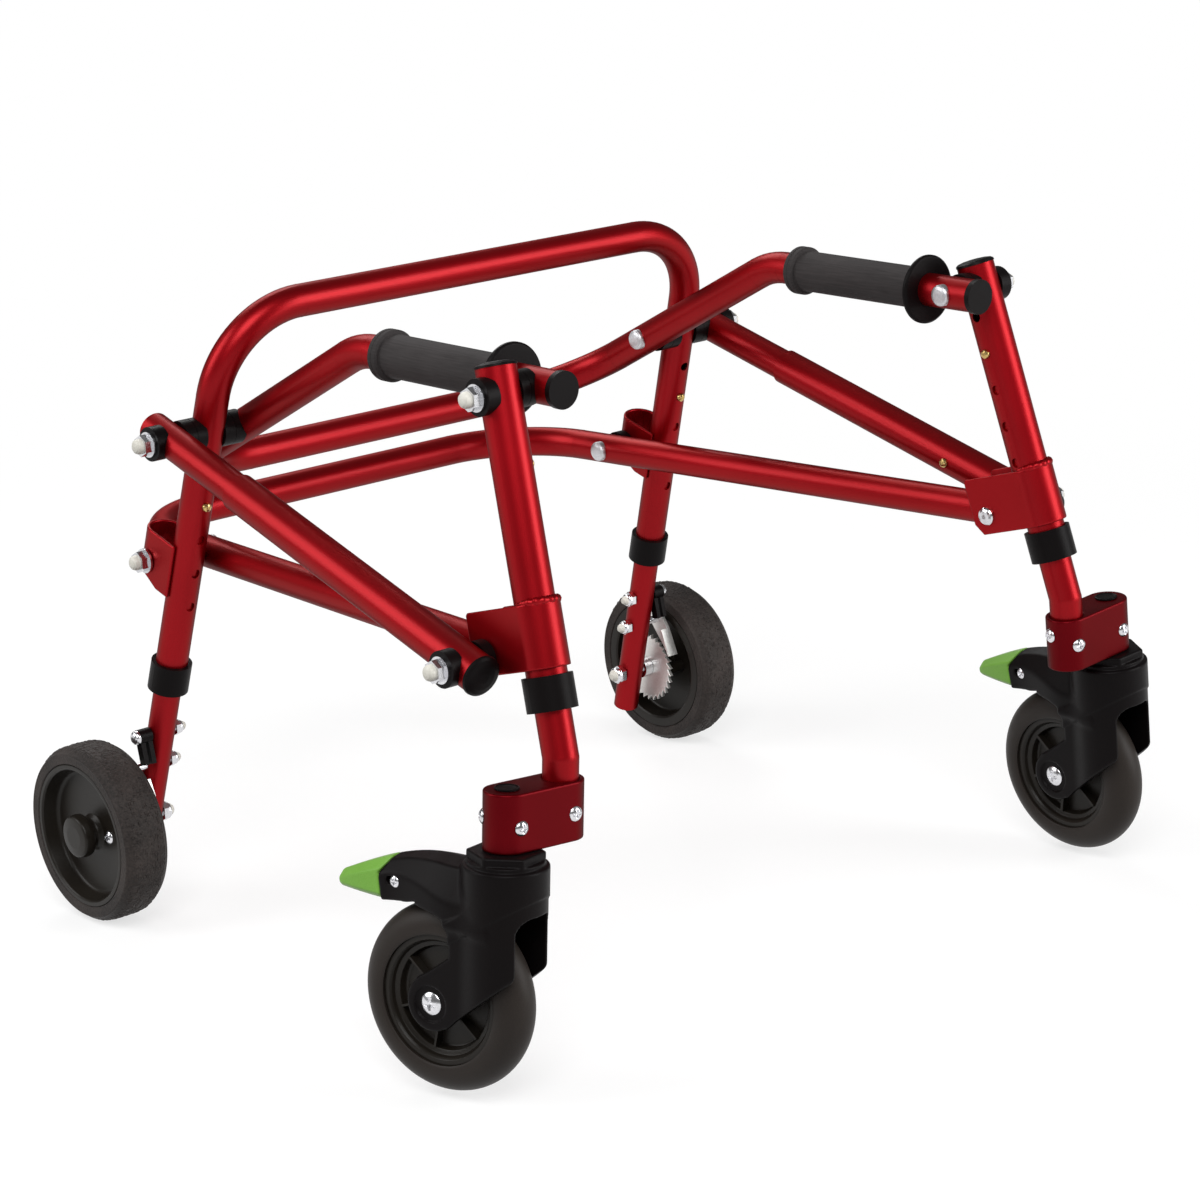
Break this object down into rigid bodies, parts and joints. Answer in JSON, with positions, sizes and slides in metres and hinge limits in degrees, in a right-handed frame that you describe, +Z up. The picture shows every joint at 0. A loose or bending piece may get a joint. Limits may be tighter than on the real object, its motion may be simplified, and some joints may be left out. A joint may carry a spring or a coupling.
{
  "type": "posterior walker",
  "caption": "Red folding posterior walker with a rear hoop, side grips, telescoping braces and legs, one-way rear wheels and swivel-lock front casters.",
  "frame": {"origin": "on the floor, under the middle of the whole walker's box", "axes": "+Z up, -Y the direction of travel, +X the user's left"},
  "size_m": [0.62, 0.5529, 0.4406],
  "materials": {
    "red_tube": "satin red anodised tube",
    "dark_red": "satin dark red coating",
    "steel": "zinc plated",
    "white_nylon": "translucent white nylon",
    "brass": "polished",
    "grip_foam": "closed-cell foam",
    "tyre": "solid rubber",
    "green": "satin",
    "black_plastic": "fine-grained moulding"
  },
  "bodies": {
    "rear_frame": {"rear_hoop": "red_tube", "rear_brackets": "dark_red", "rear_trim": "black_plastic"},
    "handle_frame": {"handle_rail": "red_tube", "grips": "grip_foam", "handle_trim": "black_plastic", "handle_bolts": "steel", "handle_nut_caps": "white_nylon"},
    "lower_frame": {"lower_rail": "red_tube", "lower_bolts": "steel", "lower_nut_caps": "white_nylon", "lower_spacers": "black_plastic"},
    "front_frame": {"front_posts": "red_tube", "front_brackets": "dark_red", "post_trim": "black_plastic", "bracket_screws": "steel"},
    "brace_rods_pair": {"brace_rods": "red_tube", "brace_rod_spacers": "black_plastic"},
    "brace_outer_right": {"brace_tube_right": "red_tube", "brace_trim_right": "black_plastic", "brace_bolt_right": "steel", "brace_nut_cap_right": "white_nylon"},
    "brace_snap_right": {"brace_button_right": "brass"},
    "rear_leg_unit_right": {"rear_leg_right": "red_tube", "rear_leg_bolts_right": "steel"},
    "rear_snap_right": {"rear_button_right": "brass"},
    "lever_right": {"pawl_lever_right": "black_plastic"},
    "ratchet_pawl_right": {"pawl_right": "steel"},
    "rear_wheel_right": {"rear_tyre_right": "tyre", "rear_rim_right": "black_plastic", "ratchet_disc_right": "steel"},
    "front_leg_unit_right": {"front_leg_right": "red_tube", "offset_block_right": "dark_red"},
    "front_snap_right": {"front_button_right": "brass"},
    "caster_right": {"caster_fork_right": "black_plastic", "caster_axle_right": "steel"},
    "caster_wheel_right": {"caster_rim_right": "black_plastic", "caster_tyre_right": "tyre"},
    "lock_right": {"swivel_lock_right": "green"},
    "brace_outer_left": {"brace_tube_left": "red_tube", "brace_trim_left": "black_plastic", "brace_bolt_left": "steel", "brace_nut_cap_left": "white_nylon"},
    "brace_snap_left": {"brace_button_left": "brass"},
    "rear_leg_unit_left": {"rear_leg_left": "red_tube", "rear_leg_bolts_left": "steel"},
    "rear_snap_left": {"rear_button_left": "brass"},
    "lever_left": {"pawl_lever_left": "black_plastic"},
    "ratchet_pawl_left": {"pawl_left": "steel"},
    "rear_wheel_left": {"rear_tyre_left": "tyre", "rear_rim_left": "black_plastic", "ratchet_disc_left": "steel"},
    "front_leg_unit_left": {"front_leg_left": "red_tube", "offset_block_left": "dark_red"},
    "front_snap_left": {"front_button_left": "brass"},
    "caster_left": {"caster_fork_left": "black_plastic", "caster_axle_left": "steel"},
    "caster_wheel_left": {"caster_rim_left": "black_plastic", "caster_tyre_left": "tyre"},
    "lock_left": {"swivel_lock_left": "green"}
  },
  "joints": [
    {"name": "handle_fold", "type": "hinge", "parent": "rear_frame", "child": "handle_frame", "pos_m": [0.0063, 0.1123, 0.348], "axis": [1, 0, 0], "range_deg": [0, 75]},
    {"name": "lower_fold", "type": "hinge", "parent": "rear_frame", "child": "lower_frame", "pos_m": [0.0063, 0.1683, 0.254], "axis": [1, 0, 0], "range_deg": [0, 66]},
    {"name": "post_fold", "type": "hinge", "parent": "handle_frame", "child": "front_frame", "pos_m": [0.0063, -0.1917, 0.4155], "axis": [1, 0, 0], "range_deg": [-55, 0]},
    {"name": "brace_swing", "type": "hinge", "parent": "rear_frame", "child": "brace_rods_pair", "pos_m": [0.0063, 0.1123, 0.348], "axis": [1, 0, 0], "range_deg": [0, 63]},
    {"name": "brace_slide_right", "type": "slide", "parent": "brace_rods_pair", "child": "brace_outer_right", "axis": [-0.0332, -0.9613, -0.2735], "range_m": [0, 0.118], "deforming": ["brace_button_right"]},
    {"name": "brace_press_right", "type": "slide", "parent": "brace_rods_pair", "child": "brace_snap_right", "axis": [-0.9994, 0.032, 0.0091], "range_m": [0, 0.005], "stiffness_N_per_m": 400},
    {"name": "rear_height_right", "type": "slide", "parent": "rear_frame", "child": "rear_leg_unit_right", "axis": [-0.0497, 0.287, -0.9566], "range_m": [-0.0254, 0.0762], "deforming": ["rear_button_right"]},
    {"name": "rear_press_right", "type": "slide", "parent": "rear_leg_unit_right", "child": "rear_snap_right", "axis": [0, 0.9578, 0.2874], "range_m": [0, 0.005], "stiffness_N_per_m": 400},
    {"name": "lever_turn_right", "type": "hinge", "parent": "rear_leg_unit_right", "child": "lever_right", "pos_m": [-0.21863, 0.17827, 0.12812], "axis": [1, 0, 0], "range_deg": [-68, 5]},
    {"name": "pawl_turn_right", "type": "hinge", "parent": "rear_leg_unit_right", "child": "ratchet_pawl_right", "pos_m": [-0.21988, 0.18549, 0.10405], "axis": [1, 0, 0], "range_deg": [-12, 0]},
    {"name": "rear_wheel_spin_right", "type": "hinge", "parent": "rear_leg_unit_right", "child": "rear_wheel_right", "pos_m": [-0.26254, 0.19795, 0.0625], "axis": [1, 0, 0], "continuous": true},
    {"name": "front_height_right", "type": "slide", "parent": "front_frame", "child": "front_leg_unit_right", "axis": [-0.0732, -0.2732, -0.9592], "range_m": [-0.0254, 0.0762], "deforming": ["front_button_right"]},
    {"name": "front_press_right", "type": "slide", "parent": "front_leg_unit_right", "child": "front_snap_right", "axis": [-0.9973, 0.0201, 0.0704], "range_m": [0, 0.005], "stiffness_N_per_m": 400},
    {"name": "caster_swivel_right", "type": "hinge", "parent": "front_leg_unit_right", "child": "caster_right", "pos_m": [-0.26581, -0.25154, 0.16024], "axis": [0.0761, 0, 0.9971], "continuous": true},
    {"name": "caster_spin_right", "type": "hinge", "parent": "caster_right", "child": "caster_wheel_right", "pos_m": [-0.28337, -0.21386, 0.0628], "axis": [-0.9631, -0.2588, 0.0735], "continuous": true},
    {"name": "lock_slide_right", "type": "slide", "parent": "caster_right", "child": "lock_right", "axis": [-0.2581, 0.9659, 0.0197], "range_m": [0, 0.005]},
    {"name": "brace_slide_left", "type": "slide", "parent": "brace_rods_pair", "child": "brace_outer_left", "axis": [0.0332, -0.9613, -0.2735], "range_m": [0, 0.118], "deforming": ["brace_button_left"]},
    {"name": "brace_press_left", "type": "slide", "parent": "brace_rods_pair", "child": "brace_snap_left", "axis": [0.9994, 0.032, 0.0091], "range_m": [0, 0.005], "stiffness_N_per_m": 400},
    {"name": "rear_height_left", "type": "slide", "parent": "rear_frame", "child": "rear_leg_unit_left", "axis": [0.0497, 0.287, -0.9566], "range_m": [-0.0254, 0.0762], "deforming": ["rear_button_left"]},
    {"name": "rear_press_left", "type": "slide", "parent": "rear_leg_unit_left", "child": "rear_snap_left", "axis": [0, 0.9578, 0.2874], "range_m": [0, 0.005], "stiffness_N_per_m": 400},
    {"name": "lever_turn_left", "type": "hinge", "parent": "rear_leg_unit_left", "child": "lever_left", "pos_m": [0.23123, 0.17827, 0.12812], "axis": [1, 0, 0], "range_deg": [-68, 5]},
    {"name": "pawl_turn_left", "type": "hinge", "parent": "rear_leg_unit_left", "child": "ratchet_pawl_left", "pos_m": [0.23248, 0.18549, 0.10405], "axis": [1, 0, 0], "range_deg": [-12, 0]},
    {"name": "rear_wheel_spin_left", "type": "hinge", "parent": "rear_leg_unit_left", "child": "rear_wheel_left", "pos_m": [0.27514, 0.19795, 0.0625], "axis": [1, 0, 0], "continuous": true},
    {"name": "front_height_left", "type": "slide", "parent": "front_frame", "child": "front_leg_unit_left", "axis": [0.0732, -0.2732, -0.9592], "range_m": [-0.0254, 0.0762], "deforming": ["front_button_left"]},
    {"name": "front_press_left", "type": "slide", "parent": "front_leg_unit_left", "child": "front_snap_left", "axis": [0.9973, 0.0201, 0.0704], "range_m": [0, 0.005], "stiffness_N_per_m": 400},
    {"name": "caster_swivel_left", "type": "hinge", "parent": "front_leg_unit_left", "child": "caster_left", "pos_m": [0.27841, -0.25154, 0.16024], "axis": [-0.0761, 0, 0.9971], "continuous": true},
    {"name": "caster_spin_left", "type": "hinge", "parent": "caster_left", "child": "caster_wheel_left", "pos_m": [0.28659, -0.21254, 0.06208], "axis": [0.9969, -0.0175, 0.0761], "continuous": true},
    {"name": "lock_slide_left", "type": "slide", "parent": "caster_left", "child": "lock_left", "axis": [0.0174, 0.9998, 0.0013], "range_m": [0, 0.005]}
  ],
  "couplings": [
    {"joint": "lower_fold", "follows": "handle_fold", "ratio": 0.8735},
    {"joint": "post_fold", "follows": "handle_fold", "ratio": -0.725},
    {"joint": "brace_swing", "follows": "handle_fold", "ratio": 0.83},
    {"joint": "brace_slide_right", "follows": "handle_fold", "m_per_rad": 0.0888},
    {"joint": "lever_turn_right", "follows": "pawl_turn_right", "ratio": 5},
    {"joint": "brace_slide_left", "follows": "handle_fold", "m_per_rad": 0.0888},
    {"joint": "lever_turn_left", "follows": "pawl_turn_left", "ratio": 5}
  ]
}
